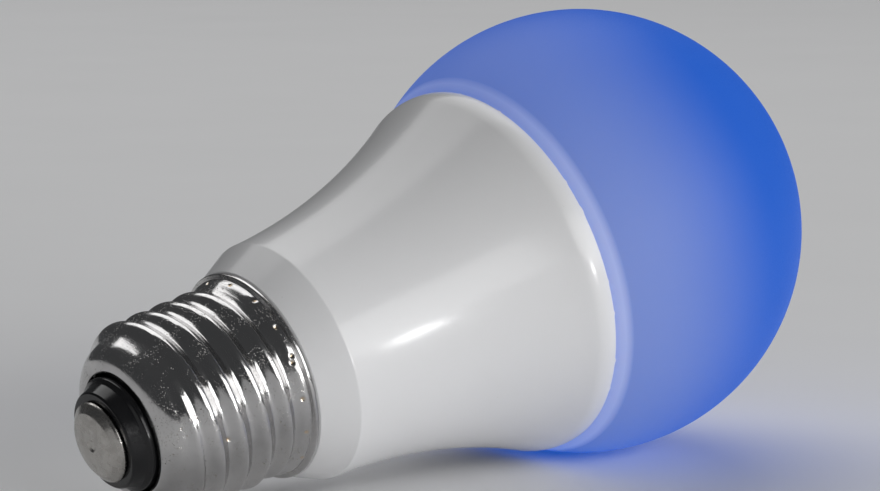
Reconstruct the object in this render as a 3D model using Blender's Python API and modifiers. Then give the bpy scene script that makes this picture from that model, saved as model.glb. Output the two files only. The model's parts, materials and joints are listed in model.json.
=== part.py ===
"""A colour-changing A60 light bulb with an E27 screw cap, lying on its side.

Every piece is modelled upright on the bulb's own axis: height 0 is the rim of
the cap, the cap hangs below it and the globe stands above. An empty then lays
the whole bulb down, the way it comes to rest on its globe and its thread.
Lengths are in millimetres and become metres through MM. On the upright bulb
+X is the side that faces up once it lies down.
"""

import math

import bmesh
import bpy
from mathutils import Matrix, Vector

MM = 0.001
GAP = 0.3

# Globe
GLOBE_RADIUS = 30.8
GLOBE_CENTRE = 57.1
GLOBE_WALL = 1.3
LIP_TOP = 42.4
LIP_ROUND = 4.5
SKIRT_RADIUS = 23.2
SKIRT_WALL = 1.2
SKIRT_BOTTOM = 37.8

# Housing, from the cap's rim up to the seam with the globe
SEAM = 40.5
COLLAR_RADIUS = 14.1
CREASE_RADIUS = 16.4
CREASE = 5.0
FLARE_RADIUS = 77.4
FLARE_START_DEG = 2.5
SHOULDER = 37.45
SHOULDER_RADIUS = 4.7
SHOULDER_END_DEG = 10.0
HOUSING_WALL = 1.3
MOUTH_RADIUS = 23.5
MOUTH_FLOOR = 37.0
NECK_RADIUS = 11.5
NECK_WALL = 1.2
NECK_BOTTOM = -9.0

# Screw cap
CAP_WALL = 0.35
RIM_RADIUS = 14.1
RIM_HEIGHT = 0.45
CAP_SKIRT_RADIUS = 13.45
CAP_SKIRT_BOTTOM = -2.8
THREAD_MEAN_RADIUS = 12.68
THREAD_HEIGHT = 1.0
THREAD_PITCH = 3.63
THREAD_TOP = -2.3
THREAD_BOTTOM = -18.0
FIRST_CREST = -4.64
THREAD_FADE = 1.4
CAP_END_RADIUS = 8.1
CAP_END = -20.6
CAP_END_HEIGHT = 3.6
CAP_END_STEP = 1.0
CAP_END_RISE = 1.8
INSULATOR_RADIUS = 7.65
INSULATOR_BORE = 1.9
INSULATOR_TOP = -17.4
INSULATOR_END = -23.4
CONTACT_RADIUS = 5.4
CONTACT_FACE_RADIUS = 2.7
NAIL_RADIUS = 1.2
NAIL_TOP = -15.0
TIP = -25.2

# Heat sink, lamp board and what stands on it
SINK_WALL = 1.0
SINK_BOTTOM = 6.0
PLATFORM = 36.6
PLATFORM_THICKNESS = 1.2
PAD_RADIUS = 20.6
PAD_THICKNESS = 0.4
BOARD_RADIUS = 21.4
BOARD_THICKNESS = 1.6
WHITE_LEDS = 12
WHITE_LED_SIZE = (2.8, 3.5, 0.7)
WHITE_LED_RING = 18.7
COLOUR_LED_SIZE = (5.0, 5.0, 1.0)
COLOUR_LED_RING = 9.5
COLOUR_LED_DEG = (90, 150, 210, 270)
SCREWS = 3
SCREW_RING = 13.2
SCREW_HEAD_RADIUS = 2.2
SCREW_SHANK_RADIUS = 1.1
SCREW_HOLE_RADIUS = 1.45
SCREW_END = 32.6
BOSS_RADIUS = 2.7
BOSS_BOTTOM = 31.9
PIN_PITCH = 2.54

# Driver board: it stands along the axis, with its tall parts on the -X side
DRIVER_X = (2.0, 3.6)
DRIVER_BOTTOM = -12.0
DRIVER_TOP = 33.4
DRIVER_NECK_HALF = 8.2
DRIVER_HALF = 11.8
UNDER = DRIVER_X[0] - GAP
OVER = DRIVER_X[1] + GAP
WIFI_X = (7.2, 8.2)
WIFI_HALF = 8.0
WIFI_Z = (20.4, 47.4)
LEAD_RADIUS = 0.45

PAD_BOTTOM = PLATFORM + GAP
BOARD_BOTTOM = PAD_BOTTOM + PAD_THICKNESS + GAP
BOARD_TOP = BOARD_BOTTOM + BOARD_THICKNESS
ON_BOARD = BOARD_TOP + GAP

ROUND_STEPS = 36
SMALL_STEPS = 14


def clear_scene():
    for obj in list(bpy.data.objects):
        bpy.data.objects.remove(obj, do_unlink=True)


def new_collection(name, is_helper=False):
    collection = bpy.data.collections.new(name)
    collection.hide_render = is_helper
    bpy.context.scene.collection.children.link(collection)
    return collection


clear_scene()
PIECES = new_collection("smart_light_bulb")
CUTTERS = new_collection("cutters", is_helper=True)
LAMP = bpy.data.objects.new("lamp_axis", None)
PIECES.objects.link(LAMP)


# ---------------------------------------------------------------- materials


def material(name, colour, roughness, metallic=0.0, **extra):
    """A Principled material; extra names other sockets, with _ for a space."""
    found = bpy.data.materials.get(name)
    if found:
        return found
    made = bpy.data.materials.new(name)
    made.use_nodes = True
    shader = made.node_tree.nodes["Principled BSDF"]
    shader.inputs["Base Color"].default_value = (*colour, 1.0)
    shader.inputs["Roughness"].default_value = roughness
    shader.inputs["Metallic"].default_value = metallic
    for socket, value in extra.items():
        shader.inputs[socket.replace("_", " ")].default_value = value
    made.diffuse_color = (*colour, 1.0)
    return made


def frosted_blue():
    return material("frosted_blue", (0.05, 0.22, 0.9), 0.45, Subsurface_Weight=0.4)


def white_plastic():
    return material("white_plastic", (0.86, 0.86, 0.85), 0.3, Coat_Weight=0.3)


def nickel():
    return material("nickel", (0.66, 0.65, 0.63), 0.18, 1.0)


def black_insulator():
    return material("black_insulator", (0.015, 0.015, 0.018), 0.25)


def silicone():
    return material("silicone", (0.8, 0.8, 0.78), 0.5)


def aluminium():
    return material("aluminium", (0.78, 0.79, 0.8), 0.4, 1.0)


def grey_pad():
    return material("grey_pad", (0.45, 0.5, 0.55), 0.8)


def white_solder_mask():
    return material("white_solder_mask", (0.9, 0.9, 0.88), 0.5)


def green_solder_mask():
    return material("green_solder_mask", (0.03, 0.2, 0.08), 0.4)


def led_phosphor():
    return material("led_phosphor", (0.95, 0.8, 0.25), 0.4)


def led_clear():
    return material("led_clear", (0.9, 0.9, 0.92), 0.2)


def steel():
    return material("steel", (0.6, 0.6, 0.6), 0.3, 1.0)


def black_plastic():
    return material("black_plastic", (0.02, 0.02, 0.02), 0.45)


def capacitor_sleeve():
    return material("capacitor_sleeve", (0.03, 0.04, 0.09), 0.35)


def ferrite():
    return material("ferrite", (0.06, 0.055, 0.05), 0.6)


def winding_tape():
    return material("winding_tape", (0.85, 0.62, 0.1), 0.5)


def copper_wire():
    return material("copper_wire", (0.72, 0.35, 0.15), 0.3, 1.0)


def blue_disc():
    return material("blue_disc", (0.05, 0.16, 0.5), 0.4)


def red_box():
    return material("red_box", (0.55, 0.06, 0.04), 0.4)


def resistor_body():
    return material("resistor_body", (0.3, 0.5, 0.42), 0.6)


def white_insulation():
    return material("white_insulation", (0.85, 0.85, 0.83), 0.5)


def black_insulation():
    return material("black_insulation", (0.03, 0.03, 0.03), 0.5)


# -------------------------------------------------------------------- tools


def add_object(name, data, look=None, collection=PIECES):
    """Puts the data on the lamp's axis as a piece, or as a hidden cutter."""
    obj = bpy.data.objects.new(name, data)
    collection.objects.link(obj)
    obj.parent = LAMP
    if look:
        data.materials.append(look)
    if collection is CUTTERS:
        obj.hide_render = True
        obj.display_type = "WIRE"
    return obj


def mesh_from(name, bm):
    mesh = bpy.data.meshes.new(name)
    bm.to_mesh(mesh)
    bm.free()
    return mesh


def smooth(mesh, angle_deg=35):
    mesh.shade_smooth()
    mesh.set_sharp_from_angle(angle=math.radians(angle_deg))


def arc(centre, radius, start_deg, end_deg, steps):
    """Points (radius, height) on a circular arc, both ends included."""
    points = []
    for step in range(steps + 1):
        angle = math.radians(start_deg + (end_deg - start_deg) * step / steps)
        points.append((centre[0] + radius * math.cos(angle), centre[1] + radius * math.sin(angle)))
    return points


def turned(name, profile, look, closed=True, steps=ROUND_STEPS):
    """Turns a profile of (radius, height) points, listed down its outer side, about the axis."""
    bm = bmesh.new()
    points = [bm.verts.new((radius * MM, 0.0, height * MM)) for radius, height in profile]
    for here, there in zip(points, points[1:]):
        bm.edges.new((here, there))
    if closed:
        bm.edges.new((points[-1], points[0]))
    mesh = mesh_from(name, bm)
    obj = add_object(name, mesh, look)
    screw = obj.modifiers.new("turn", "SCREW")
    screw.axis = "Z"
    screw.steps = steps
    screw.render_steps = steps
    screw.use_merge_vertices = True
    screw.merge_threshold = 0.00001
    screw.use_smooth_shade = True
    return obj


def block(name, low, high, look=None, bevel=0.0, collection=PIECES):
    """A box between two corners, with its edges rounded by bevel."""
    size = [(b - a) * MM for a, b in zip(low, high)]
    bm = bmesh.new()
    bmesh.ops.create_cube(bm, size=1.0, matrix=Matrix.Diagonal((*size, 1.0)))
    obj = add_object(name, mesh_from(name, bm), look, collection)
    obj.location = [(a + b) / 2 * MM for a, b in zip(low, high)]
    if bevel:
        rounding = obj.modifiers.new("edges", "BEVEL")
        rounding.width = bevel * MM
        rounding.segments = 1
    return obj


def rod(name, radius, low, high, look=None, at=(0.0, 0.0), steps=SMALL_STEPS, bevel=0.0, collection=PIECES):
    """An upright cylinder between two heights."""
    bm = bmesh.new()
    bmesh.ops.create_cone(
        bm,
        cap_ends=True,
        segments=steps,
        radius1=radius * MM,
        radius2=radius * MM,
        depth=(high - low) * MM,
    )
    obj = add_object(name, mesh_from(name, bm), look, collection)
    obj.location = (at[0] * MM, at[1] * MM, (low + high) / 2 * MM)
    smooth(obj.data)
    if bevel:
        rounding = obj.modifiers.new("edges", "BEVEL")
        rounding.width = bevel * MM
        rounding.segments = 1
        rounding.angle_limit = math.radians(60)
        rounding.limit_method = "ANGLE"
    return obj


def wire(name, points, radius, look):
    """A round wire along a polyline."""
    curve = bpy.data.curves.new(name, "CURVE")
    curve.dimensions = "3D"
    curve.bevel_depth = radius * MM
    curve.bevel_resolution = 2
    curve.use_fill_caps = True
    spline = curve.splines.new("POLY")
    spline.points.add(len(points) - 1)
    for point, place in zip(spline.points, points):
        point.co = (*(value * MM for value in place), 1.0)
    return add_object(name, curve, look)


def smooth_route(corners, per_span=4):
    """A Catmull-Rom curve through the corners, as points for a wire."""
    ends = [corners[0], *corners, corners[-1]]
    points = []
    for index in range(len(corners) - 1):
        a, b, c, d = (Vector(ends[index + k]) for k in range(4))
        for step in range(per_span):
            t = step / per_span
            bend = 2 * a - 5 * b + 4 * c - d
            twist = 3 * b - a - 3 * c + d
            points.append(0.5 * (2 * b + (c - a) * t + bend * t**2 + twist * t**3))
    points.append(Vector(corners[-1]))
    return points


def boolean(target, tool, operation):
    change = target.modifiers.new(operation.lower() + "_" + tool.name, "BOOLEAN")
    change.operation = operation
    change.solver = "EXACT"
    change.object = tool
    return target


def ring_places(count, radius, start_deg=0.0):
    """(x, y, angle) of points spaced evenly round the axis."""
    places = []
    for index in range(count):
        angle = math.radians(start_deg + 360.0 * index / count)
        places.append((radius * math.cos(angle), radius * math.sin(angle), angle))
    return places


# ---------------------------------------------------------- globe and housing


def lip_arc(seat):
    """The rounding from the ball in to the housing's edge: an arc tangent to the ball."""
    lip_deg = math.degrees(math.asin((LIP_TOP - GLOBE_CENTRE) / GLOBE_RADIUS))
    reach = (GLOBE_RADIUS - LIP_ROUND) * math.cos(math.radians(lip_deg))
    height = GLOBE_CENTRE + (GLOBE_RADIUS - LIP_ROUND) * math.sin(math.radians(lip_deg))
    seat_deg = math.degrees(math.asin((seat - height) / LIP_ROUND))
    return lip_deg, arc((reach, height), LIP_ROUND, lip_deg, seat_deg, 4)


def globe():
    """A frosted ball with a rounded lip and a skirt that plugs into the housing's mouth."""
    inner = GLOBE_RADIUS - GLOBE_WALL
    seat = SEAM + GAP
    lip_deg, lip = lip_arc(seat)
    inner_deg = math.degrees(math.asin((LIP_TOP - GLOBE_CENTRE) / inner))
    profile = arc((0, GLOBE_CENTRE), GLOBE_RADIUS, 90, lip_deg, 14) + lip[1:]
    profile += [
        (SKIRT_RADIUS, seat),
        (SKIRT_RADIUS, SKIRT_BOTTOM),
        (SKIRT_RADIUS - SKIRT_WALL, SKIRT_BOTTOM),
        (SKIRT_RADIUS - SKIRT_WALL, seat + 0.2),
    ]
    profile += arc((0, GLOBE_CENTRE), inner, inner_deg, 90, 9)
    profile[0] = (0.0, profile[0][1])
    profile[-1] = (0.0, profile[-1][1])
    return turned("diffuser_globe", profile, frosted_blue(), closed=False)


def globe_seal():
    """The silicone bead under the globe's skirt."""
    inside = SKIRT_RADIUS - SKIRT_WALL
    low, high = PLATFORM + GAP, SKIRT_BOTTOM - GAP
    profile = [
        (SKIRT_RADIUS - 0.2, high),
        (SKIRT_RADIUS, (low + high) / 2),
        (SKIRT_RADIUS - 0.2, low),
        (inside + 0.2, low),
        (inside, (low + high) / 2),
        (inside + 0.2, high),
    ]
    return turned("diffuser_seal", profile, silicone())


def flare_radius(height):
    """The housing's radius on its concave flare, one circular arc."""
    start = math.radians(FLARE_START_DEG)
    sine = math.sin(start) + (height - CREASE) / FLARE_RADIUS
    return CREASE_RADIUS + FLARE_RADIUS * (math.cos(start) - math.sqrt(1 - sine**2))


def housing_outside():
    """Outer side of the housing, from the seam down to the cap's rim."""
    slope = math.asin(math.sin(math.radians(FLARE_START_DEG)) + (SHOULDER - CREASE) / FLARE_RADIUS)
    centre = (
        flare_radius(SHOULDER) - SHOULDER_RADIUS * math.cos(slope),
        SHOULDER + SHOULDER_RADIUS * math.sin(slope),
    )
    profile = arc(centre, SHOULDER_RADIUS, SHOULDER_END_DEG, -math.degrees(slope), 5)
    steps = 7
    for step in range(1, steps + 1):
        height = SHOULDER + (CREASE + 1.0 - SHOULDER) * step / steps
        profile.append((flare_radius(height), height))
    profile += [(CREASE_RADIUS - 0.15, CREASE - 0.2), (COLLAR_RADIUS, GAP + 0.3)]
    return profile


def housing_inside():
    """Inner side of the flare, from the bottom up to the floor of the mouth."""
    steps = 4
    heights = [CREASE + 0.6 + (MOUTH_FLOOR - CREASE - 0.6) * step / steps for step in range(steps + 1)]
    return [(flare_radius(height) - HOUSING_WALL, height) for height in heights]


def housing():
    """The white shell with its neck, which the screw cap is pressed on."""
    bore = NECK_RADIUS - NECK_WALL
    outside = housing_outside()
    outside = [(outside[0][0] - 0.3, SEAM)] + outside
    profile = outside + [
        (COLLAR_RADIUS - 0.25, GAP),
        (NECK_RADIUS, GAP),
        (NECK_RADIUS, NECK_BOTTOM),
        (bore, NECK_BOTTOM),
        (bore, 2.5),
    ]
    profile += housing_inside() + [(MOUTH_RADIUS, MOUTH_FLOOR), (MOUTH_RADIUS, SEAM)]
    shell = turned("outer_housing", profile, white_plastic())
    for side in (-1, 1):
        for rail, (low, high) in enumerate(((0.2, UNDER), (OVER, OVER + 1.5))):
            near = DRIVER_NECK_HALF - 1.2
            far = math.sqrt((NECK_RADIUS - 0.4) ** 2 - high**2)
            edges = sorted((side * near, side * far))
            tool = block(
                f"rail_{rail}_{'left' if side < 0 else 'right'}",
                (low, edges[0], NECK_BOTTOM + 1.0),
                (high, edges[1], 1.5),
                collection=CUTTERS,
            )
            boolean(shell, tool, "UNION")
    return shell


# ----------------------------------------------------------------- screw cap


def smooth_step(value):
    value = max(0.0, min(1.0, value))
    return value * value * (3 - 2 * value)


def thread_weight(height):
    """How much of the full thread there is at this height: it fades out at both ends."""
    above = (THREAD_TOP - height) / THREAD_FADE
    below = (height - THREAD_BOTTOM) / THREAD_FADE
    return smooth_step(min(above, below))


def cap_radius(angle, height, radius):
    """The cap's outer radius: the plain radius, with the thread blended over it."""
    weight = thread_weight(height)
    turn = (height - FIRST_CREST) / THREAD_PITCH - angle / math.tau
    wave = THREAD_MEAN_RADIUS + THREAD_HEIGHT / 2 * math.cos(math.tau * turn)
    return radius + (wave - radius) * weight


def cap_rows(thread_steps):
    """The plain cap's (radius, height) rows from the end at the tip up to the rim."""
    low_radius = THREAD_MEAN_RADIUS - CAP_END_STEP
    low = CAP_END + CAP_END_HEIGHT
    skirt_top = -2 * RIM_HEIGHT
    end_steps, skirt_steps = 5, 2
    rows = []
    for step in range(end_steps + 1):
        angle = math.radians(90 * step / end_steps)
        radius = CAP_END_RADIUS + (low_radius - CAP_END_RADIUS) * math.sin(angle)
        rows.append((radius, CAP_END + CAP_END_HEIGHT * (1 - math.cos(angle))))
    for step in range(1, thread_steps + 1):
        height = low + (CAP_SKIRT_BOTTOM - low) * step / thread_steps
        rows.append((low_radius + CAP_END_STEP * smooth_step((height - low) / CAP_END_RISE), height))
    for step in range(1, skirt_steps + 1):
        height = CAP_SKIRT_BOTTOM + (skirt_top - CAP_SKIRT_BOTTOM) * step / skirt_steps
        rise = smooth_step(step / skirt_steps)
        rows.append((THREAD_MEAN_RADIUS + (CAP_SKIRT_RADIUS - THREAD_MEAN_RADIUS) * rise, height))
    return rows + [(RIM_RADIUS, -RIM_HEIGHT), (RIM_RADIUS - 0.05, 0.0)]


def screw_shell():
    """The rolled-thread cap: a grid wrapped into a tube, then given its sheet thickness."""
    rows = cap_rows(24)
    steps = 32
    bm = bmesh.new()
    bmesh.ops.create_grid(bm, x_segments=steps, y_segments=len(rows) - 1, size=1.0)
    for vert in bm.verts:
        angle = (vert.co.x + 1) / 2 * math.tau
        radius, height = rows[round((vert.co.y + 1) / 2 * (len(rows) - 1))]
        radius = cap_radius(angle, height, radius)
        vert.co = Vector((radius * math.cos(angle), radius * math.sin(angle), height)) * MM
    bmesh.ops.remove_doubles(bm, verts=bm.verts, dist=0.00001)
    shell = add_object("screw_shell", mesh_from("screw_shell", bm), nickel())
    smooth(shell.data, 60)
    sheet = shell.modifiers.new("sheet", "SOLIDIFY")
    sheet.thickness = CAP_WALL * MM
    sheet.offset = -1.0
    return shell


def base_insulator():
    """The black end piece that keeps the centre contact apart from the shell."""
    flange = INSULATOR_RADIUS + 0.95
    profile = [
        (flange - 0.4, INSULATOR_TOP),
        (flange, INSULATOR_TOP - 0.4),
        (flange, INSULATOR_TOP - 1.7),
        (INSULATOR_RADIUS, INSULATOR_TOP - 2.3),
        (INSULATOR_RADIUS, INSULATOR_END + 2.1),
        (INSULATOR_RADIUS - 0.6, INSULATOR_END + 1.8),
        (CONTACT_RADIUS + 1.1, INSULATOR_END + 0.2),
        (CONTACT_RADIUS + 0.9, INSULATOR_END),
        (INSULATOR_BORE, INSULATOR_END),
        (INSULATOR_BORE, INSULATOR_TOP),
    ]
    return turned("base_insulator", profile, black_insulator(), steps=20)


def centre_contact():
    """A pressed contact: a low-crowned disc with a flat face and a nail up the insulator's bore."""
    disc_top = INSULATOR_END - GAP
    profile = [
        (0.0, NAIL_TOP),
        (NAIL_RADIUS - 0.3, NAIL_TOP),
        (NAIL_RADIUS, NAIL_TOP - 0.6),
        (NAIL_RADIUS, disc_top),
        (CONTACT_RADIUS - 0.2, disc_top),
        (CONTACT_RADIUS, disc_top - 0.2),
        (CONTACT_RADIUS - 0.2, disc_top - 0.6),
        (CONTACT_RADIUS - 1.1, TIP + 0.4),
        (CONTACT_FACE_RADIUS, TIP),
        (0.0, TIP),
    ]
    return turned("centre_contact", profile, nickel(), closed=False, steps=20)


# ------------------------------------------------- heat sink and lamp board


def sink_radius(height):
    return flare_radius(height) - HOUSING_WALL - GAP


def heat_sink():
    """An aluminium cup nested in the housing; its top carries the lamp board."""
    floor = PLATFORM - PLATFORM_THICKNESS
    steps = 5
    side = [PLATFORM - 0.5 + (SINK_BOTTOM - PLATFORM + 0.5) * step / steps for step in range(steps + 1)]
    profile = [(0.0, PLATFORM), (sink_radius(PLATFORM - 0.5) - 0.4, PLATFORM)]
    profile += [(sink_radius(height), height) for height in side]
    inner = [height for height in reversed(side) if height < floor - 1] + [floor]
    profile += [(sink_radius(height) - SINK_WALL, height) for height in inner]
    profile.append((0.0, floor))
    cup = turned("heat_sink_cup", profile, aluminium(), closed=False, steps=28)
    for index, (x, y, _) in enumerate(ring_places(SCREWS, SCREW_RING)):
        boss = rod(f"boss_{index}", BOSS_RADIUS, BOSS_BOTTOM, floor + 0.4, at=(x, y), collection=CUTTERS)
        boolean(cup, boss, "UNION")
    return cup


def board_openings():
    """Cutters shared by the heat sink, the pad and the lamp board."""
    low, high = BOSS_BOTTOM - 1.0, BOARD_TOP + 1.0
    tools = [
        block(
            "wifi_slot",
            (WIFI_X[0] - 0.6, -WIFI_HALF - 0.6, low),
            (WIFI_X[1] + 0.6, WIFI_HALF + 0.6, high),
            collection=CUTTERS,
        ),
        block("header_slot", (1.0, -4.6, low), (4.6, 4.6, high), collection=CUTTERS),
    ]
    for index, (x, y, _) in enumerate(ring_places(SCREWS, SCREW_RING)):
        tools.append(
            rod(f"screw_hole_{index}", SCREW_HOLE_RADIUS, low, high, at=(x, y), collection=CUTTERS)
        )
    return tools


def lamp_board():
    """The heat sink, the pad and the lamp board, with the same openings through all three."""
    stack = [
        heat_sink(),
        rod("thermal_pad", PAD_RADIUS, PAD_BOTTOM, PAD_BOTTOM + PAD_THICKNESS, grey_pad(), steps=28),
        rod("led_board", BOARD_RADIUS, BOARD_BOTTOM, BOARD_TOP, white_solder_mask(), steps=28),
    ]
    for tool in board_openings():
        for layer in stack:
            boolean(layer, tool, "DIFFERENCE")


def led(name, size, look, x, y, angle):
    """A light-emitting diode package, its long side along the ring."""
    half = [value / 2 for value in size]
    package = block(name, [-value for value in half], half, look, bevel=0.15)
    package.location = (x * MM, y * MM, (ON_BOARD + half[2]) * MM)
    package.rotation_euler = (0.0, 0.0, angle)
    return package


def leds():
    step = 180.0 / WHITE_LEDS
    for index, (x, y, angle) in enumerate(ring_places(WHITE_LEDS, WHITE_LED_RING, step)):
        led(f"white_led_{index + 1:02d}", WHITE_LED_SIZE, led_phosphor(), x, y, angle)
    for index, degrees in enumerate(COLOUR_LED_DEG):
        angle = math.radians(degrees)
        x, y = COLOUR_LED_RING * math.cos(angle), COLOUR_LED_RING * math.sin(angle)
        led(f"colour_led_{index + 1}", COLOUR_LED_SIZE, led_clear(), x, y, angle)


def board_screws():
    """Pan-head screws with a cross recess, through the lamp board into the bosses."""
    top = ON_BOARD + 1.3
    for index, (x, y, angle) in enumerate(ring_places(SCREWS, SCREW_RING)):
        profile = [
            (0.0, top),
            (1.2, top),
            (SCREW_HEAD_RADIUS - 0.3, top - 0.35),
            (SCREW_HEAD_RADIUS, ON_BOARD + 0.3),
            (SCREW_HEAD_RADIUS, ON_BOARD),
            (SCREW_SHANK_RADIUS, ON_BOARD),
            (SCREW_SHANK_RADIUS, SCREW_END + 0.6),
            (0.4, SCREW_END),
            (0.0, SCREW_END),
        ]
        screw = turned(f"board_screw_{index + 1}", profile, steel(), closed=False, steps=SMALL_STEPS)
        screw.location = (x * MM, y * MM, 0.0)
        for blade, half in enumerate(((1.1, 0.22), (0.22, 1.1))):
            recess = block(
                f"recess_{index}_{blade}",
                (-half[0], -half[1], top - 0.7),
                (half[0], half[1], top + 0.5),
                collection=CUTTERS,
            )
            recess.location += screw.location
            boolean(screw, recess, "DIFFERENCE")


def lamp_connector():
    """A pin header on the driver board's end, and the socket that it enters on the lamp board."""
    low, high = (1.6, -3.8, DRIVER_TOP + GAP), (4.0, 3.8, DRIVER_TOP + 2.6)
    header = block("led_pin_header", low, high, black_plastic())
    for pin in range(-1, 2):
        y = pin * PIN_PITCH
        low, high = (2.5, y - 0.3, DRIVER_TOP + 1.0), (3.1, y + 0.3, ON_BOARD + 2.2)
        boolean(header, block(f"pin_{pin + 2}", low, high, collection=CUTTERS), "UNION")
    low, high = (0.8, -5.0, ON_BOARD), (4.8, 5.0, ON_BOARD + 3.2)
    socket = block("led_socket", low, high, white_insulation(), 0.3)
    low, high = (2.0, -3.4, ON_BOARD - 1.0), (3.6, 3.4, ON_BOARD + 2.6)
    boolean(socket, block("socket_bay", low, high, collection=CUTTERS), "DIFFERENCE")


def wifi_module():
    """The radio board, which stands through the lamp board so that its antenna is clear of metal."""
    block(
        "wifi_board",
        (WIFI_X[0], -WIFI_HALF, WIFI_Z[0]),
        (WIFI_X[1], WIFI_HALF, WIFI_Z[1]),
        green_solder_mask(),
        0.1,
    )
    block(
        "wifi_shield_can",
        (WIFI_X[1] + GAP, -5.5, WIFI_Z[0] + 1.5),
        (WIFI_X[1] + GAP + 1.8, 5.5, WIFI_Z[0] + 10.0),
        steel(),
        0.2,
    )


# --------------------------------------------------------------- driver board


def driver_board():
    """A T-shaped board: narrow in the neck, wide in the heat sink."""
    outline = [
        (-DRIVER_NECK_HALF, DRIVER_BOTTOM),
        (DRIVER_NECK_HALF, DRIVER_BOTTOM),
        (DRIVER_NECK_HALF, 6.5),
        (DRIVER_HALF, 8.0),
        (DRIVER_HALF, DRIVER_TOP),
        (-DRIVER_HALF, DRIVER_TOP),
        (-DRIVER_HALF, 8.0),
        (-DRIVER_NECK_HALF, 6.5),
    ]
    curve = bpy.data.curves.new("driver_board", "CURVE")
    curve.dimensions = "2D"
    curve.fill_mode = "BOTH"
    curve.extrude = (DRIVER_X[1] - DRIVER_X[0]) / 2 * MM
    spline = curve.splines.new("POLY")
    spline.points.add(len(outline) - 1)
    spline.use_cyclic_u = True
    for point, (y, z) in zip(spline.points, outline):
        point.co = (y * MM, z * MM, 0.0, 1.0)
    board = add_object("driver_board", curve, green_solder_mask())
    board.location = (sum(DRIVER_X) / 2 * MM, 0.0, 0.0)
    board.rotation_euler = (math.radians(90), 0.0, math.radians(90))


def electrolytic(name, radius, bottom, top, y):
    """A can capacitor lying along the board, with a crimp groove near its base."""
    profile = [
        (0.0, top),
        (radius - 0.4, top),
        (radius, top - 0.4),
        (radius, bottom + 2.2),
        (radius - 0.5, bottom + 1.8),
        (radius, bottom + 1.4),
        (radius, bottom + 0.4),
        (radius - 0.4, bottom),
        (0.0, bottom),
    ]
    can = turned(name, profile, capacitor_sleeve(), closed=False, steps=20)
    can.location = ((UNDER - radius) * MM, y * MM, 0.0)


def transformer():
    """An E-core transformer: the ferrite frame round a taped winding."""
    low, high = (-7.6, -10.4, 12.0), (UNDER, 1.4, 23.0)
    core = block("transformer_core", low, high, ferrite(), 0.2)
    limb = 2.2
    window = block(
        "core_window",
        (low[0] - 1, low[1] + limb, low[2] + limb),
        (high[0] + 1, high[1] - limb, high[2] - limb),
        collection=CUTTERS,
    )
    boolean(core, window, "DIFFERENCE")
    limb += GAP
    block(
        "transformer_winding",
        (low[0] + 0.8, low[1] + limb, low[2] + limb),
        (high[0] - 0.8, high[1] - limb, high[2] - limb),
        winding_tape(),
        0.6,
    )


def inductor():
    """A drum inductor: a ferrite bobbin with a wound waist."""
    radius, bottom, top = 4.0, 24.2, 30.6
    profile = [
        (0.0, top),
        (radius, top),
        (radius, top - 1.2),
        (radius - 0.9, top - 1.4),
        (radius - 0.9, bottom + 1.4),
        (radius, bottom + 1.2),
        (radius, bottom),
        (0.0, bottom),
    ]
    drum = turned("filter_inductor", profile, copper_wire(), closed=False, steps=20)
    drum.location = ((UNDER - radius) * MM, -5.6 * MM, 0.0)


def fuse_resistor():
    """The fusible input resistor, a dog-bone body with its two leads."""
    x, y = UNDER - 3.5, 7.2
    profile = [(0.0, 3.6), (0.35, 3.6), (0.35, 1.4), (1.0, 1.2), (1.5, 0.6), (1.3, -0.6)]
    profile += [(1.3, -3.4), (1.5, -4.6), (1.0, -5.2), (0.35, -5.4), (0.35, -7.4), (0.0, -7.4)]
    body = turned("fuse_resistor", profile, resistor_body(), closed=False, steps=SMALL_STEPS)
    body.location = (x * MM, y * MM, 0.0)


def varistor():
    """The surge protector, a coated disc on edge."""
    radius, half = 3.2, 1.3
    body = rod("varistor", radius, -half, half, blue_disc(), steps=18, bevel=0.5)
    body.location = ((UNDER - radius) * MM, -8.6 * MM, 7.6 * MM)
    body.rotation_euler = (math.radians(90), 0.0, 0.0)


def small_parts():
    """The flat packages on the driver board's upper face and the film capacitor under it."""
    block("film_capacitor", (-6.0, 1.6, 24.0), (UNDER, 10.4, 29.0), red_box(), 0.4)
    block("bridge_rectifier", (OVER, -2.4, 0.0), (OVER + 1.6, 2.4, 4.2), black_plastic(), 0.2)
    block("driver_ic", (OVER, -9.0, 10.0), (OVER + 1.5, -4.8, 15.2), black_plastic(), 0.2)
    block("flyback_diode", (OVER, 4.6, 10.4), (OVER + 2.2, 8.4, 15.0), black_plastic(), 0.2)


def leads():
    """The two supply leads, from the cap to the foot of the driver board."""
    live = [
        (0.0, 0.0, NAIL_TOP + 0.4),
        (0.2, 0.8, -13.6),
        (1.6, 2.6, -12.9),
        (4.4, 3.2, -12.6),
        (4.7, 3.4, -10.4),
        (4.5, 3.6, -8.4),
    ]
    neutral = [
        (10.9, -0.4, -9.8),
        (9.6, -1.0, -11.4),
        (7.2, -2.2, -12.2),
        (5.0, -3.2, -11.2),
        (4.5, -3.6, -8.4),
    ]
    wire("live_lead", smooth_route(live), LEAD_RADIUS, black_insulation())
    wire("neutral_lead", smooth_route(neutral), LEAD_RADIUS, white_insulation())


# --------------------------------------------------------- how the bulb lies


def resting_tilt():
    """The axis's rise when the globe and the thread both touch the floor, in radians."""
    tilts = []
    for plain_radius, height in cap_rows(200):
        radius = cap_radius(math.pi, height, plain_radius)
        reach = math.hypot(GLOBE_CENTRE - height, radius)
        lean = math.atan2(radius, GLOBE_CENTRE - height)
        tilts.append(math.asin(GLOBE_RADIUS / reach) - lean)
    return min(tilts)


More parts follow.
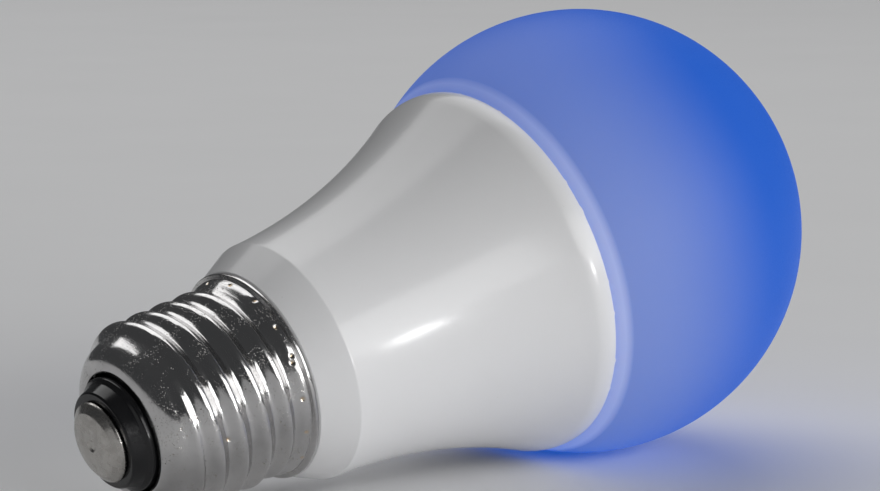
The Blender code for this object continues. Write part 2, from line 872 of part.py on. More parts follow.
def lay_down():
    """Turns the axis from +Z to +X, raised by the tilt, with the box's bottom centre at the origin."""
    tilt = resting_tilt()
    across, up = math.cos(tilt), math.sin(tilt)
    back = TIP * across - CONTACT_FACE_RADIUS * up
    front = GLOBE_CENTRE * across + GLOBE_RADIUS
    shift = Vector((-(back + front) / 2, 0.0, GLOBE_RADIUS - GLOBE_CENTRE * up)) * MM
    axes = Matrix(((-up, 0, across), (0, -1, 0), (across, 0, up)))
    LAMP.matrix_world = Matrix.Translation(shift) @ axes.to_4x4()


globe()
globe_seal()
housing()
screw_shell()
base_insulator()
centre_contact()
lamp_board()
leds()
board_screws()
lamp_connector()
wifi_module()
driver_board()
electrolytic("input_capacitor", 4.9, -8.6, 7.4, 0.0)
electrolytic("output_capacitor", 4.0, 10.4, 23.6, 6.4)
transformer()
inductor()
fuse_resistor()
varistor()
small_parts()
leads()
lay_down()
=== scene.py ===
"""The looks of a colour-changing A60 bulb that lies on its side.

The shells that show (globe, housing, cap, insulator and contact) are turned
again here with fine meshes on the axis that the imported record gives. Lengths in
the profiles are millimetres along and away from that axis, with height 0 at the
rim of the cap and the globe above it.
"""

import json
import math

import bmesh
import bpy
from mathutils import Matrix, Vector, noise


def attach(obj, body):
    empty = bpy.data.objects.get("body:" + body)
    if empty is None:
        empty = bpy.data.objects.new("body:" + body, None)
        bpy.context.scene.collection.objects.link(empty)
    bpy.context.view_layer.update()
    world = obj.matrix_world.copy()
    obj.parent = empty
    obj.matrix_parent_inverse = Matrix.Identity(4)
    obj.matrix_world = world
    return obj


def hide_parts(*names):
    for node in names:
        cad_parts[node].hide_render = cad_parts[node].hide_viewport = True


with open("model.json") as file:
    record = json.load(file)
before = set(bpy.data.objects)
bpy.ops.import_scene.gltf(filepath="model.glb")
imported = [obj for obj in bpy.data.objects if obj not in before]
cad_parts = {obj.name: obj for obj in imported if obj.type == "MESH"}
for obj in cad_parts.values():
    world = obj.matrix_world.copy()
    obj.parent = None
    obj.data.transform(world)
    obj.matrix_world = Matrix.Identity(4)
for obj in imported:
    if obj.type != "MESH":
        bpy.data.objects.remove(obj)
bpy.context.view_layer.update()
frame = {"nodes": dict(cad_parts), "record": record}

MM = 0.001
MOUNTS = {mount["name"]: mount for mount in frame["record"]["mounts"]}

# Camera: a long lens on the cap's side, looking a little down. The offset is from the rim's centre
CAMERA_OFFSET = (-0.23445, -0.34141, 0.07681)
CAMERA_AZIMUTH = -37.85
CAMERA_ELEVATION = 8.233
CAMERA_LENS = 132.87

# Studio: each light's place, size and power. The low one makes the housing's two small highlights
LIGHT_TARGET = (0.0, 0.0, 0.03)
LIGHTS = {
    "key_softbox": ((0.30, -1.05, 0.40), (1.5, 0.6), 8.2),
    "low_softbox": ((0.40, -1.83, 0.09), (0.32, 0.15), 5.2),
    "top_softbox": ((0.3, 0.9, 1.5), (2.0, 1.4), 14.0),
}
WORLD_COLOUR = (0.75, 0.77, 0.80, 1.0)
WORLD_STRENGTH = 0.08
FLOOR_HALF_SIZE = 3.0

# Mesh fineness, in steps round the axis
GLOBE_STEPS = 160
HOUSING_STEPS = 360
CAP_STEPS = 400
END_STEPS = 128
SHARP_EDGE_DEG = 40

# Globe
GLOBE_RADIUS = 30.8
GLOBE_CENTRE = 57.1
GLOBE_WALL = 1.3
LIP_TOP = 42.4
LIP_ROUND = 4.5
SKIRT_RADIUS = 23.2
SKIRT_WALL = 1.2
SKIRT_BOTTOM = 37.8
# Painted light: where the pale haze painted on the globe towards the seam begins
PAINTED_HAZE_START = GLOBE_CENTRE + 11.0

# Housing
SEAM = 40.5
SEAM_GAP = 0.12
COLLAR_RADIUS = 14.1
CREASE_RADIUS = 16.4
CREASE = 5.0
FLARE_RADIUS = 77.4
FLARE_START_DEG = 2.5
SHOULDER = 37.45
SHOULDER_RADIUS = 4.7
SHOULDER_END_DEG = 10.0
HOUSING_WALL = 1.3
MOUTH_RADIUS = 23.5
MOUTH_FLOOR = 37.0
NECK_RADIUS = 11.5
NECK_WALL = 1.2
NECK_BOTTOM = -9.0
BURR_FREQUENCY = 34.0
BURR_SHARPNESS = 2.5
BURR_THRESHOLD = 0.4
BURR_REACH = 0.5
BURR_HEIGHT = 0.16

# Screw cap
CAP_WALL = 0.3
CAP_RIM_START = -0.9
RIM_RADIUS = 14.1
CAP_SKIRT_RADIUS = 13.45
CAP_SKIRT_BOTTOM = -2.8
THREAD_MEAN_RADIUS = 12.68
THREAD_HEIGHT = 1.0
THREAD_PITCH = 3.63
THREAD_TOP = -2.3
THREAD_BOTTOM = -18.0
THREAD_FADE = 1.4
FIRST_CREST = -4.64
CAP_END_RADIUS = 8.1
CAP_END = -20.6
CAP_END_HEIGHT = 3.6
CAP_END_STEP = 1.0
CAP_END_RISE = 1.8
CRIMP_MARKS = 17
CRIMP_HEIGHT = -1.28
CRIMP_START_DEG = 29.0
CRIMP_DEPTH = 0.22
CRIMP_RADIUS = 0.29
CRIMP_WANDER = 0.2
CRIMP_FLAT = 0.35
DOUBLE_CRIMP = 2
DOUBLE_CRIMP_DEG = -3.4
DOUBLE_CRIMP_RISE = 0.25
STRAY_DENT = (99.0, -12.75)
INSULATOR_RADIUS = 7.65
INSULATOR_BORE = 1.9
INSULATOR_TOP = -17.4
INSULATOR_END = -23.4
CONTACT_RADIUS = 5.4
CONTACT_FACE_RADIUS = 2.7
NAIL_RADIUS = 1.2
NAIL_TOP = -15.0
TIP = -25.2


# --------------------------------------------------------------- bulb's axis


def axis_matrix():
    """Turns the bulb's own axes (Z from cap to globe, X up) into the row frame."""
    mount = MOUNTS["screw_cap"]
    along = -Vector(mount["axis"]).normalized()
    side = Vector((0.0, -1.0, 0.0))
    up = side.cross(along)
    turn = Matrix((up, side, along)).transposed().to_4x4()
    return Matrix.Translation(Vector(mount["pos_m"])) @ turn


AXIS = axis_matrix()


# -------------------------------------------------------------------- shapes


def smooth_step(value):
    value = max(0.0, min(1.0, value))
    return value * value * (3 - 2 * value)


def arc(centre, radius, start_deg, end_deg, steps):
    points = []
    for step in range(steps + 1):
        angle = math.radians(start_deg + (end_deg - start_deg) * step / steps)
        points.append((centre[0] + radius * math.cos(angle), centre[1] + radius * math.sin(angle)))
    return points


def rounded(corners, steps=5):
    """An open outline of (radius, height, fillet) corners, with each fillet as an arc."""
    outline = []
    for index, (radius, height, fillet) in enumerate(corners):
        here = Vector((radius, height))
        if not fillet or index in (0, len(corners) - 1):
            outline.append(tuple(here))
            continue
        before = (Vector(corners[index - 1][:2]) - here).normalized()
        after = (Vector(corners[index + 1][:2]) - here).normalized()
        half = before.angle(after) / 2
        reach = fillet / math.tan(half)
        centre = here + (before + after).normalized() * (fillet / math.sin(half))
        first, last = here + before * reach - centre, here + after * reach - centre
        turn = first.angle_signed(last)
        for step in range(steps + 1):
            spoke = first.copy()
            spoke.rotate(Matrix.Rotation(-turn * step / steps, 2))
            outline.append(tuple(centre + spoke))
    return outline


def finish_piece(name, bm, look, replaces):
    """Moves a mesh built on the bulb's axis into the row frame and makes it a piece."""
    bmesh.ops.remove_doubles(bm, verts=bm.verts, dist=0.000001)
    bmesh.ops.recalc_face_normals(bm, faces=bm.faces)
    bm.transform(AXIS)
    mesh = bpy.data.meshes.new(name)
    bm.to_mesh(mesh)
    bm.free()
    mesh.shade_smooth()
    mesh.set_sharp_from_angle(angle=math.radians(SHARP_EDGE_DEG))
    mesh.materials.append(look)
    piece = bpy.data.objects.new(name, mesh)
    bpy.context.scene.collection.objects.link(piece)
    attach(piece, "root")
    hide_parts(*replaces)
    return piece


def turned(profile, steps, closed):
    """The surface of a profile of (radius, height) points turned about the axis."""
    bm = bmesh.new()
    points = [bm.verts.new((radius * MM, 0.0, height * MM)) for radius, height in profile]
    edges = [bm.edges.new(pair) for pair in zip(points, points[1:])]
    if closed:
        edges.append(bm.edges.new((points[-1], points[0])))
    bmesh.ops.spin(
        bm,
        geom=points + edges,
        cent=(0.0, 0.0, 0.0),
        axis=(0.0, 0.0, 1.0),
        angle=math.tau,
        steps=steps,
        use_merge=True,
    )
    return bm


def make_globe():
    """A ball that rounds in at its lip, with the skirt that plugs into the housing."""
    inner = GLOBE_RADIUS - GLOBE_WALL
    drop = LIP_TOP - GLOBE_CENTRE
    lip_deg = math.degrees(math.asin(drop / GLOBE_RADIUS))
    inner_deg = math.degrees(math.asin(drop / inner))
    seat = SEAM + SEAM_GAP
    sphere = arc((0, GLOBE_CENTRE), GLOBE_RADIUS, 90, lip_deg, 72)
    reach = GLOBE_RADIUS - LIP_ROUND
    lip_centre = (
        reach * math.cos(math.radians(lip_deg)),
        GLOBE_CENTRE + reach * math.sin(math.radians(lip_deg)),
    )
    seat_deg = math.degrees(math.asin((seat - lip_centre[1]) / LIP_ROUND))
    lip = arc(lip_centre, LIP_ROUND, lip_deg, seat_deg, 14)
    skirt = rounded(
        [
            (*lip[-1], 0),
            (SKIRT_RADIUS, seat, 0.1),
            (SKIRT_RADIUS, SKIRT_BOTTOM, 0.2),
            (SKIRT_RADIUS - SKIRT_WALL, SKIRT_BOTTOM, 0.2),
            (SKIRT_RADIUS - SKIRT_WALL, seat + 0.3, 0.5),
            (inner * math.cos(math.radians(inner_deg)), LIP_TOP, 0),
        ]
    )
    ball = arc((0, GLOBE_CENTRE), inner, inner_deg, 90, 40)
    sphere[0] = (0.0, sphere[0][1])
    ball[-1] = (0.0, ball[-1][1])
    bm = turned(sphere + lip[1:] + skirt[1:] + ball[1:], GLOBE_STEPS, closed=False)
    look = frosted_diffuser()
    return finish_piece("globe_diffuser", bm, look, ["diffuser_globe"])


def flare_radius(height):
    """The flare is one long arc that starts near the collar's crease."""
    start = math.radians(FLARE_START_DEG)
    sine = math.sin(start) + (height - CREASE) / FLARE_RADIUS
    return CREASE_RADIUS + FLARE_RADIUS * (math.cos(start) - math.sqrt(1 - sine**2))


def add_burrs(bm, radius):
    """Small moulding burrs along the outer edge of the housing's mouth."""
    for vert in bm.verts:
        place = vert.co / MM
        distance = math.hypot(math.hypot(place.x, place.y) - radius, place.z - SEAM)
        near = smooth_step(1 - distance / BURR_REACH)
        if near:
            around = Vector((place.x, place.y, 0.0)).normalized() * BURR_FREQUENCY
            rise = smooth_step(BURR_SHARPNESS * noise.noise(around) - BURR_THRESHOLD)
            vert.co.z += BURR_HEIGHT * rise * near * MM


def make_housing():
    """The white shell: shoulder at the seam, flare, crease, collar, and the neck inside the cap."""
    slope = math.asin(math.sin(math.radians(FLARE_START_DEG)) + (SHOULDER - CREASE) / FLARE_RADIUS)
    centre = (
        flare_radius(SHOULDER) - SHOULDER_RADIUS * math.cos(slope),
        SHOULDER + SHOULDER_RADIUS * math.sin(slope),
    )
    shoulder = arc(centre, SHOULDER_RADIUS, SHOULDER_END_DEG, -math.degrees(slope), 16)
    edge = rounded([(MOUTH_RADIUS, SEAM, 0), (shoulder[0][0], SEAM, 0.1), (*shoulder[1], 0)], 3)
    crease_top = CREASE + 1.1
    steps = 44
    flare = []
    for step in range(1, steps + 1):
        height = SHOULDER + (crease_top - SHOULDER) * step / steps
        flare.append((flare_radius(height), height))
    bore = NECK_RADIUS - NECK_WALL
    collar = rounded(
        [
            (flare_radius(crease_top), crease_top, 0),
            (CREASE_RADIUS + 0.02, CREASE, 0.9),
            (COLLAR_RADIUS + 0.05, SEAM_GAP + 0.15, 0.2),
            (COLLAR_RADIUS - 0.25, SEAM_GAP, 0.08),
            (NECK_RADIUS, SEAM_GAP, 0.1),
            (NECK_RADIUS, NECK_BOTTOM, 0.2),
            (bore, NECK_BOTTOM, 0.2),
            (bore, 2.5, 0.5),
            (flare_radius(CREASE + 0.6) - HOUSING_WALL, CREASE + 0.6, 0),
        ],
        8,
    )
    inside = []
    for step in range(1, 9):
        height = CREASE + 0.6 + (MOUTH_FLOOR - CREASE - 0.6) * step / 8
        inside.append((flare_radius(height) - HOUSING_WALL, height))
    inside.append((MOUTH_RADIUS, MOUTH_FLOOR))
    profile = edge[:-1] + shoulder[1:] + flare + collar[1:] + inside
    bm = turned(profile, HOUSING_STEPS, closed=True)
    add_burrs(bm, shoulder[0][0])
    return finish_piece("housing_shell", bm, white_housing(), ["outer_housing"])


# ----------------------------------------------------------------- screw cap


def thread_weight(height):
    """How much of the full thread there is at this height: it fades out at both ends."""
    inside = min(THREAD_TOP - height, height - THREAD_BOTTOM)
    return smooth_step(inside / THREAD_FADE)


def crimp_places():
    """The angle and height of each punched mark: a ring, one mark struck twice, and one stray."""
    places = []
    for mark in range(CRIMP_MARKS):
        angle = math.radians(CRIMP_START_DEG + 360 * mark / CRIMP_MARKS)
        places.append((angle, CRIMP_HEIGHT + CRIMP_WANDER * math.cos(mark * 1.1)))
    angle, height = places[DOUBLE_CRIMP]
    places.append((angle + math.radians(DOUBLE_CRIMP_DEG), height + DOUBLE_CRIMP_RISE))
    places.append((math.radians(STRAY_DENT[0]), STRAY_DENT[1]))
    return places


CRIMPS = crimp_places()


def crimp_dent(angle, height):
    """How deep the punched marks press in at this point."""
    deepest = 0.0
    for mark_angle, mark_height in CRIMPS:
        rise = height - mark_height
        if abs(rise) > 2 * CRIMP_RADIUS:
            continue
        across = (angle - mark_angle + math.pi) % math.tau - math.pi
        distance = math.hypot(across * CAP_SKIRT_RADIUS, rise)
        deepest = max(deepest, smooth_step(1 + CRIMP_FLAT - distance / CRIMP_RADIUS))
    return CRIMP_DEPTH * deepest


def cap_radius(angle, height, radius):
    """The plain profile's radius, taken over by the rolled thread where there is thread."""
    turn = (height - FIRST_CREST) / THREAD_PITCH - angle / math.tau
    wave = THREAD_MEAN_RADIUS + THREAD_HEIGHT / 2 * math.cos(math.tau * turn)
    return radius + (wave - radius) * thread_weight(height)


def cap_profile():
    """The plain cap from its end at the tip up to the rolled rim."""
    low_radius = THREAD_MEAN_RADIUS - CAP_END_STEP
    low = CAP_END + CAP_END_HEIGHT
    end_steps, thread_steps, skirt_steps = 12, 80, 14
    rows = []
    for step in range(end_steps + 1):
        angle = math.radians(90 * step / end_steps)
        radius = CAP_END_RADIUS + (low_radius - CAP_END_RADIUS) * math.sin(angle)
        rows.append((radius, CAP_END + CAP_END_HEIGHT * (1 - math.cos(angle))))
    for step in range(1, thread_steps + 1):
        height = low + (CAP_SKIRT_BOTTOM - low) * step / thread_steps
        rise = smooth_step((height - low) / CAP_END_RISE)
        rows.append((low_radius + CAP_END_STEP * rise, height))
    for step in range(1, skirt_steps + 1):
        height = CAP_SKIRT_BOTTOM + (CAP_RIM_START - CAP_SKIRT_BOTTOM) * step / skirt_steps
        rise = smooth_step(step / skirt_steps)
        rows.append((THREAD_MEAN_RADIUS + (CAP_SKIRT_RADIUS - THREAD_MEAN_RADIUS) * rise, height))
    rim = rounded(
        [
            (CAP_SKIRT_RADIUS, CAP_RIM_START, 0),
            (CAP_SKIRT_RADIUS, -0.72, 0.1),
            (RIM_RADIUS, -0.5, 0.15),
            (RIM_RADIUS, -0.02, 0.2),
            (RIM_RADIUS - 0.5, 0.0, 0),
        ],
        4,
    )
    return rows + rim[1:]


def make_cap():
    """A grid wrapped into a tube whose wall follows the thread and the crimp marks."""
    bm = bmesh.new()
    crimp = bm.verts.layers.float.new("crimp")
    rings = []
    for radius, height in cap_profile():
        ring = []
        for step in range(CAP_STEPS):
            angle = math.tau * step / CAP_STEPS
            dent = crimp_dent(angle, height)
            out = cap_radius(angle, height, radius) - dent
            vert = bm.verts.new(Vector((out * math.cos(angle), out * math.sin(angle), height)) * MM)
            vert[crimp] = dent / CRIMP_DEPTH
            ring.append(vert)
        rings.append(ring)
    for low, high in zip(rings, rings[1:]):
        for step in range(CAP_STEPS):
            after = (step + 1) % CAP_STEPS
            bm.faces.new((low[step], low[after], high[after], high[step]))
    piece = finish_piece("cap_shell", bm, nickel(), ["screw_shell"])
    sheet = piece.modifiers.new("sheet", "SOLIDIFY")
    sheet.thickness = CAP_WALL * MM
    sheet.offset = -1.0
    return piece


def make_insulator():
    """The black plug in the cap's end, with a flange behind the cap's edge."""
    flange = INSULATOR_RADIUS + 0.95
    profile = rounded(
        [
            (INSULATOR_BORE, INSULATOR_TOP, 0),
            (flange - 0.4, INSULATOR_TOP, 0.2),
            (flange, INSULATOR_TOP - 0.4, 0.2),
            (flange, INSULATOR_TOP - 1.7, 0.2),
            (INSULATOR_RADIUS, INSULATOR_TOP - 2.3, 0.2),
            (INSULATOR_RADIUS, INSULATOR_END + 2.1, 0.35),
            (INSULATOR_RADIUS - 0.6, INSULATOR_END + 1.8, 0.25),
            (CONTACT_RADIUS + 1.1, INSULATOR_END + 0.2, 0.2),
            (CONTACT_RADIUS + 0.9, INSULATOR_END, 0.1),
            (INSULATOR_BORE, INSULATOR_END, 0),
        ]
    )
    bm = turned(profile, END_STEPS, closed=True)
    look = black_insulator()
    return finish_piece("end_insulator", bm, look, ["base_insulator"])


def make_contact():
    """A pressed disc: rolled edge, low crown, and the punch mark that set its nail."""
    top = INSULATOR_END - 0.12
    profile = rounded(
        [
            (0.0, NAIL_TOP, 0),
            (NAIL_RADIUS - 0.3, NAIL_TOP, 0.2),
            (NAIL_RADIUS, NAIL_TOP - 0.6, 0.2),
            (NAIL_RADIUS, top, 0.1),
            (CONTACT_RADIUS - 0.1, top, 0.1),
            (CONTACT_RADIUS, top - 0.3, 0.15),
            (CONTACT_RADIUS - 0.15, top - 0.6, 0.3),
            (CONTACT_RADIUS - 1.2, TIP + 0.35, 1.0),
            (CONTACT_FACE_RADIUS, TIP, 1.0),
            (0.9, TIP, 0.3),
            (0.5, TIP + 0.25, 0.3),
            (0.0, TIP + 0.25, 0),
        ],
        6,
    )
    bm = turned(profile, END_STEPS, closed=False)
    return finish_piece("tip_contact", bm, contact_metal(), ["centre_contact"])


# ----------------------------------------------------------------- materials


class Look:
    """One procedural material: a Principled shader and the nodes that feed it."""

    def __init__(self, name, **sockets):
        self.material = bpy.data.materials.new(name)
        self.material.use_nodes = True
        self.tree = self.material.node_tree
        self.shader = self.tree.nodes["Principled BSDF"]
        for socket, value in sockets.items():
            self.shader.inputs[socket.replace("_", " ")].default_value = value
        self.place = self.add("ShaderNodeTexCoord").outputs["Object"]
        self.height = None

    def add(self, kind, **settings):
        node = self.tree.nodes.new(kind)
        for key, value in settings.items():
            setattr(node, key, value)
        return node

    def join(self, output, target):
        self.tree.links.new(output, target)

    def along_axis(self):
        """Coordinates in millimetres on the bulb's own axis, instead of the row frame."""
        mapping = self.add("ShaderNodeMapping", vector_type="POINT")
        inverse = AXIS.inverted()
        mapping.inputs["Location"].default_value = inverse.translation / MM
        mapping.inputs["Rotation"].default_value = inverse.to_euler()
        mapping.inputs["Scale"].default_value = (1 / MM,) * 3
        self.join(self.place, mapping.inputs["Vector"])
        return mapping.outputs["Vector"]

    def split(self, vector):
        node = self.add("ShaderNodeSeparateXYZ")
        self.join(vector, node.inputs[0])
        return node.outputs

    def cloud(self, size_mm, detail=3.0, roughness=0.55, distortion=0.0, vector=None):
        node = self.add("ShaderNodeTexNoise")
        node.inputs["Scale"].default_value = 1 / (size_mm * (1 if vector else MM))
        node.inputs["Detail"].default_value = detail
        node.inputs["Roughness"].default_value = roughness
        node.inputs["Distortion"].default_value = distortion
        self.join(vector or self.place, node.inputs["Vector"])
        return node.outputs["Fac"]

    def cells(self, size_mm):
        node = self.add("ShaderNodeTexVoronoi")
        node.inputs["Scale"].default_value = 1 / (size_mm * MM)
        self.join(self.place, node.inputs["Vector"])
        return node.outputs["Distance"]

    def remap(self, value, low, high, to_low=0.0, to_high=1.0, kind="LINEAR"):
        node = self.add("ShaderNodeMapRange", clamp=True, interpolation_type=kind)
        for key, number in (
            ("From Min", low),
            ("From Max", high),
            ("To Min", to_low),
            ("To Max", to_high),
        ):
            node.inputs[key].default_value = number
        self.join(value, node.inputs["Value"])
        return node.outputs["Result"]

    def maths(self, operation, first, second):
        node = self.add("ShaderNodeMath", operation=operation)
        for socket, value in zip(node.inputs, (first, second)):
            if isinstance(value, (int, float)):
                socket.default_value = value
            else:
                self.join(value, socket)
        return node.outputs[0]

    def blend(self, factor, first, second):
        """A colour between two others; each may be a colour or an output."""
        node = self.add("ShaderNodeMix", data_type="RGBA")
        self.join(factor, node.inputs["Factor"])
        for socket, value in ((node.inputs[6], first), (node.inputs[7], second)):
            if isinstance(value, tuple):
                socket.default_value = (*value, 1.0)
            else:
                self.join(value, socket)
        return node.outputs[2]

    def feed(self, socket, output):
        self.join(output, self.shader.inputs[socket])

    def bump(self, value, depth_mm, strength=1.0):
        """Adds a layer of relief: value 0 to 1 is a height of 0 to depth_mm."""
        node = self.add("ShaderNodeBump")
        node.inputs["Strength"].default_value = strength
        node.inputs["Distance"].default_value = depth_mm * MM
        self.join(value, node.inputs["Height"])
        if self.height:
            self.join(self.height, node.inputs["Normal"])
        self.height = node.outputs["Normal"]
        self.feed("Normal", self.height)


def frosted_diffuser():
    """Frosted plastic lit blue from inside, with painted light: a pale haze painted on towards the
    seam and a pale band painted on the lip.
    """
    look = Look(
        "frosted_diffuser_look",
        Subsurface_Weight=0.2,
        Subsurface_Radius=(0.4, 0.7, 1.0),
        Subsurface_Scale=0.003,
        Specular_IOR_Level=0.14,
        Emission_Strength=1.0,
    )
    painted_haze_colour, painted_lip_light = (0.26, 0.28, 0.33), (0.60, 0.61, 0.62)
    height = look.split(look.along_axis())["Z"]
    body = look.blend(look.cloud(16.0, 2.0), (0.020, 0.060, 0.22), (0.028, 0.070, 0.24))
    # Painted light: the globe's colour turns pale and milky towards the seam, standing in for white
    # light falling on it
    painted_haze = look.remap(height, PAINTED_HAZE_START, SEAM - 0.5, kind="SMOOTHSTEP")
    body = look.blend(painted_haze, body, painted_haze_colour)
    # Painted light: a pale band painted on the lip, brightening it where it rounds under into shade
    # by the housing's edge
    lip = look.remap(height, LIP_TOP, LIP_TOP - 0.9)
    look.feed("Base Color", look.blend(lip, body, painted_lip_light))
    dome = look.remap(height, SEAM, GLOBE_CENTRE)
    look.feed("Emission Color", look.blend(dome, (0.0, 0.058, 0.35), (0.0, 0.060, 0.38)))
    grain = look.cloud(0.22, 2.0, 0.6)
    look.feed("Roughness", look.remap(grain, 0.3, 0.7, 0.46, 0.58))
    look.bump(look.cloud(6.0, 2.0), 0.03)
    look.bump(grain, 0.006, 0.6)
    return look.material


def white_housing():
    """Moulded white plastic: even, satin gloss, with faint flow and a few specks."""
    look = Look("white_housing_look", Coat_Weight=0.5, Coat_Roughness=0.15, Specular_IOR_Level=0.35)
    flow = look.cloud(22.0, 3.0, 0.5, 0.6)
    tone = look.blend(flow, (0.77, 0.77, 0.775), (0.81, 0.81, 0.815))
    specks = look.remap(look.cloud(0.9, 3.0, 0.7), 0.74, 0.80)
    look.feed("Base Color", look.blend(specks, tone, (0.60, 0.59, 0.56)))
    grain = look.cloud(0.35, 3.0, 0.6)
    look.feed("Roughness", look.remap(grain, 0.3, 0.7, 0.28, 0.40))
    look.bump(flow, 0.05, 0.5)
    look.bump(grain, 0.009, 0.6)
    look.feed("Coat Normal", look.height)
    return look.material


def nickel():
    """Bright nickel plate on rolled brass: fine lines, pits, dull patches and brassy crimps."""
    look = Look("nickel_look", Metallic=1.0)
    axis = look.split(look.along_axis())
    angle = look.maths("ARCTAN2", axis["Y"], axis["X"])
    around = look.add("ShaderNodeCombineXYZ")
    look.join(look.maths("MULTIPLY", angle, 1.2), around.inputs["X"])
    look.join(look.maths("MULTIPLY", axis["Z"], 5.0), around.inputs["Y"])
    lines = look.cloud(1.0, 4.0, 0.6, 0.0, around.outputs["Vector"])
    where = look.remap(look.cloud(4.0, 3.0, 0.6), 0.46, 0.62)
    fine_pits = look.maths("MULTIPLY", look.remap(look.cells(0.25), 0.12, 0.27, 1.0, 0.0), where)
    wide_pits = look.maths("MULTIPLY", look.remap(look.cells(0.80), 0.08, 0.18, 1.0, 0.0), where)
    pits = look.maths("MAXIMUM", fine_pits, wide_pits)
    dull = look.cloud(3.0, 5.0, 0.65)
    crimp = look.add("ShaderNodeAttribute", attribute_name="crimp").outputs["Fac"]
    tone = look.blend(dull, (0.66, 0.65, 0.64), (0.46, 0.455, 0.46))
    tone = look.blend(pits, tone, (0.40, 0.37, 0.33))
    brass = look.maths("MULTIPLY", crimp, 0.6)
    look.feed("Base Color", look.blend(brass, tone, (0.72, 0.50, 0.24)))
    rough = look.remap(dull, 0.35, 0.70, 0.09, 0.22)
    look.feed("Roughness", look.maths("ADD", rough, look.maths("MULTIPLY", pits, 0.25)))
    look.bump(lines, 0.016, 0.6)
    look.bump(look.maths("SUBTRACT", 1.0, pits), 0.03, 1.0)
    look.bump(look.cloud(1.6, 3.0), 0.04, 0.5)
    return look.material


def contact_metal():
    """The pressed contact: the same plate, with dull patches from a random cloud."""
    look = Look("contact_look", Metallic=1.0)
    dull = look.cloud(1.2, 4.0, 0.6)
    look.feed("Base Color", look.blend(dull, (0.56, 0.545, 0.52), (0.34, 0.32, 0.30)))
    look.feed("Roughness", look.remap(dull, 0.3, 0.7, 0.16, 0.36))
    look.bump(look.cloud(0.25, 3.0), 0.008, 0.8)
    look.bump(look.cloud(1.5, 3.0), 0.03, 0.6)
    return look.material


def black_insulator():
    """Glossy black glass-filled moulding with a slightly wavy skin."""
    look = Look("black_insulator_look", Specular_IOR_Level=0.4)
    cloud = look.cloud(2.5, 4.0)
    look.feed("Base Color", look.blend(cloud, (0.006, 0.006, 0.007), (0.014, 0.014, 0.015)))
    look.feed("Roughness", look.remap(cloud, 0.3, 0.7, 0.11, 0.24))
    look.bump(look.cloud(0.8, 4.0), 0.02, 0.8)
    return look.material


# ---------------------------------------------- inner pieces' own finishes


def plain_look(name, light, dark, rough, grain_mm, relief_mm, metallic=0.0):
    """A finish with its own tone variation, grain and roughness."""
    look = Look(name, Metallic=metallic)
    cloud = look.cloud(grain_mm * 8, 4.0)
    grain = look.cloud(grain_mm, 3.0)
    look.feed("Base Color", look.blend(cloud, light, dark))
    look.feed("Roughness", look.remap(grain, 0.3, 0.7, rough * 0.85, min(1.0, rough * 1.2)))
    look.bump(grain, relief_mm, 0.6)
    return look.material


INNER_LOOKS = {
    "silicone": ((0.80, 0.80, 0.77), (0.72, 0.72, 0.70), 0.45, 0.5, 0.01),
    "aluminium": ((0.80, 0.81, 0.82), (0.70, 0.71, 0.72), 0.36, 0.2, 0.005, 1.0),
    "thermal_pad": ((0.45, 0.50, 0.55), (0.38, 0.43, 0.48), 0.8, 0.3, 0.01),
    "lamp_board": ((0.90, 0.90, 0.88), (0.84, 0.84, 0.82), 0.42, 0.2, 0.003),
    "white_leds": ((0.95, 0.78, 0.22), (0.88, 0.68, 0.15), 0.35, 0.1, 0.003),
    "colour_leds": ((0.88, 0.89, 0.92), (0.78, 0.80, 0.86), 0.2, 0.1, 0.003),
    "steel": ((0.62, 0.62, 0.61), (0.50, 0.50, 0.50), 0.28, 0.15, 0.004, 1.0),
    "white_plastic": ((0.86, 0.85, 0.82), (0.80, 0.79, 0.76), 0.4, 0.2, 0.004),
    "black_plastic": ((0.022, 0.022, 0.022), (0.03, 0.03, 0.03), 0.5, 0.1, 0.006),
    "circuit_board": ((0.02, 0.17, 0.07), (0.03, 0.23, 0.10), 0.38, 0.6, 0.004),
    "capacitor_sleeve": ((0.025, 0.035, 0.09), (0.04, 0.05, 0.11), 0.3, 0.4, 0.004),
    "ferrite": ((0.065, 0.06, 0.055), (0.045, 0.042, 0.04), 0.6, 0.1, 0.01),
    "winding_tape": ((0.85, 0.60, 0.09), (0.76, 0.50, 0.06), 0.42, 0.4, 0.008),
    "copper_winding": ((0.74, 0.36, 0.15), (0.60, 0.27, 0.10), 0.28, 0.15, 0.01, 1.0),
    "varistor_coat": ((0.04, 0.15, 0.50), (0.03, 0.11, 0.42), 0.35, 0.3, 0.01),
    "film_capacitor": ((0.55, 0.06, 0.04), (0.48, 0.05, 0.03), 0.35, 0.3, 0.004),
    "resistor_coat": ((0.30, 0.50, 0.42), (0.24, 0.43, 0.36), 0.6, 0.2, 0.01),
    "black_wire": ((0.03, 0.03, 0.03), (0.045, 0.045, 0.045), 0.45, 0.2, 0.004),
    "white_wire": ((0.86, 0.86, 0.84), (0.80, 0.80, 0.78), 0.45, 0.2, 0.004),
}


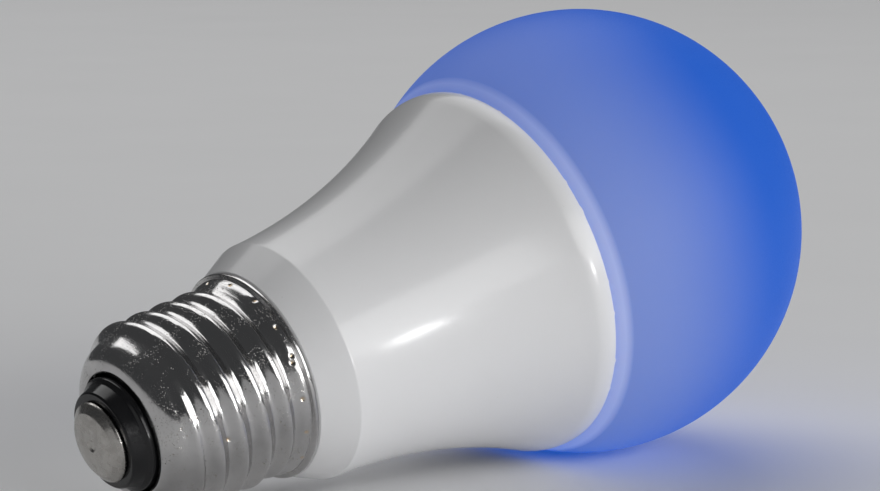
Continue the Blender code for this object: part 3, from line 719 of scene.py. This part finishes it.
def dress_inner_pieces():
    """Gives every carried-over CAD node the finish of its slot in the record."""
    slots = {part["node"]: part["material_slot"] for part in frame["record"]["subparts"]}
    looks = {slot: plain_look(slot + "_look", *values) for slot, values in INNER_LOOKS.items()}
    for name, node in frame["nodes"].items():
        if slots[name] not in looks:
            continue
        node.data.materials.clear()
        node.data.materials.append(looks[slots[name]])


# -------------------------------------------------------------------- studio


def make_floor():
    bm = bmesh.new()
    bmesh.ops.create_grid(bm, x_segments=1, y_segments=1, size=FLOOR_HALF_SIZE)
    mesh = bpy.data.meshes.new("studio_floor")
    bm.to_mesh(mesh)
    bm.free()
    look = Look("studio_floor_look", Roughness=0.7)
    tone = look.blend(look.cloud(60.0), (0.88, 0.88, 0.885), (0.92, 0.92, 0.925))
    look.feed("Base Color", tone)
    mesh.materials.append(look.material)
    floor = bpy.data.objects.new("studio_floor", mesh)
    bpy.context.scene.collection.objects.link(floor)


def soft_light(name, place, size, power):
    data = bpy.data.lights.new(name, "AREA")
    data.shape = "RECTANGLE"
    data.size, data.size_y = size
    data.energy = power
    light = bpy.data.objects.new(name, data)
    light.location = place
    towards = Vector(LIGHT_TARGET) - Vector(place)
    light.rotation_euler = towards.to_track_quat("-Z", "Y").to_euler()
    bpy.context.scene.collection.objects.link(light)


def make_lights():
    for name, settings in LIGHTS.items():
        soft_light(name, *settings)
    world = bpy.data.worlds.new("studio")
    world.use_nodes = True
    background = world.node_tree.nodes["Background"]
    background.inputs["Color"].default_value = WORLD_COLOUR
    background.inputs["Strength"].default_value = WORLD_STRENGTH
    bpy.context.scene.world = world


def make_camera():
    data = bpy.data.cameras.new("camera")
    data.lens = CAMERA_LENS
    data.clip_start = 0.01
    camera = bpy.data.objects.new("camera", data)
    camera.location = Vector(MOUNTS["screw_cap"]["pos_m"]) + Vector(CAMERA_OFFSET)
    tilt = math.radians(90 - CAMERA_ELEVATION)
    camera.rotation_euler = (tilt, 0.0, math.radians(CAMERA_AZIMUTH))
    bpy.context.scene.collection.objects.link(camera)
    bpy.context.scene.camera = camera


make_camera()
make_globe()
make_housing()
make_cap()
make_insulator()
make_contact()
dress_inner_pieces()
make_floor()
make_lights()
bpy.context.scene.view_settings.view_transform = "Standard"
